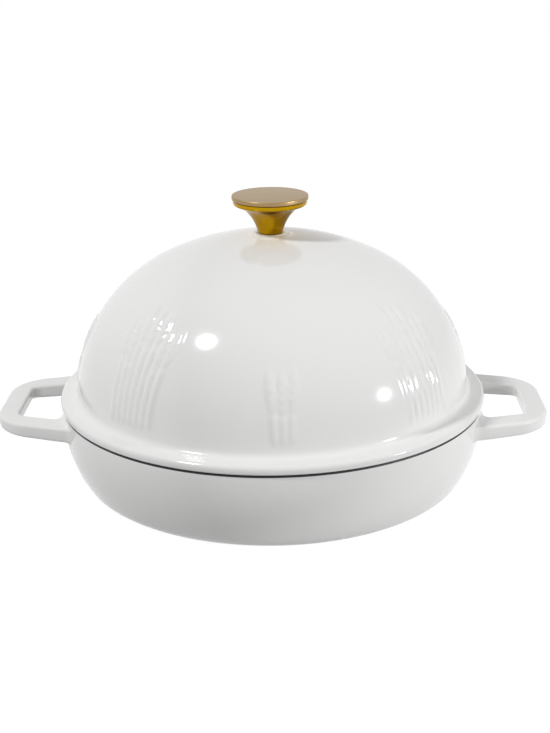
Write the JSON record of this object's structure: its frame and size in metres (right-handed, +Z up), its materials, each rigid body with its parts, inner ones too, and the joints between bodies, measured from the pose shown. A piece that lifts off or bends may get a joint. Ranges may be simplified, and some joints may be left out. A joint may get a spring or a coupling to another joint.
{
  "type": "bread cloche",
  "caption": "Round enamelled pan with loop handles under a tall domed lid with a flange and a flared knob; the lid lifts off.",
  "frame": {"origin": "centre of the pan's base, on the table", "axes": "+Z up, +X along the two handles, -Y towards the front"},
  "size_m": [0.3374, 0.262, 0.1754],
  "materials": {
    "enamel_pan": "white gloss enamel, with matte black enamel on the rim and inside",
    "enamel_lid": "white gloss enamel outside, matte black enamel inside",
    "polished_gold": "polished",
    "satin_gold": "satin",
    "silicone": "moulded",
    "steel": "plain"
  },
  "bodies": {
    "pan": {"base_pan": "enamel_pan"},
    "lid": {"dome_lid": "enamel_lid", "knob_body": "polished_gold", "knob_cap": "satin_gold", "knob_gasket": "silicone", "flat_washer": "steel", "lock_washer": "steel", "knob_screw": "steel"}
  },
  "joints": [
    {"name": "lid_lift", "type": "slide", "parent": "pan", "child": "lid", "axis": [0, 0, 1], "range_m": [0, 0.15]}
  ]
}
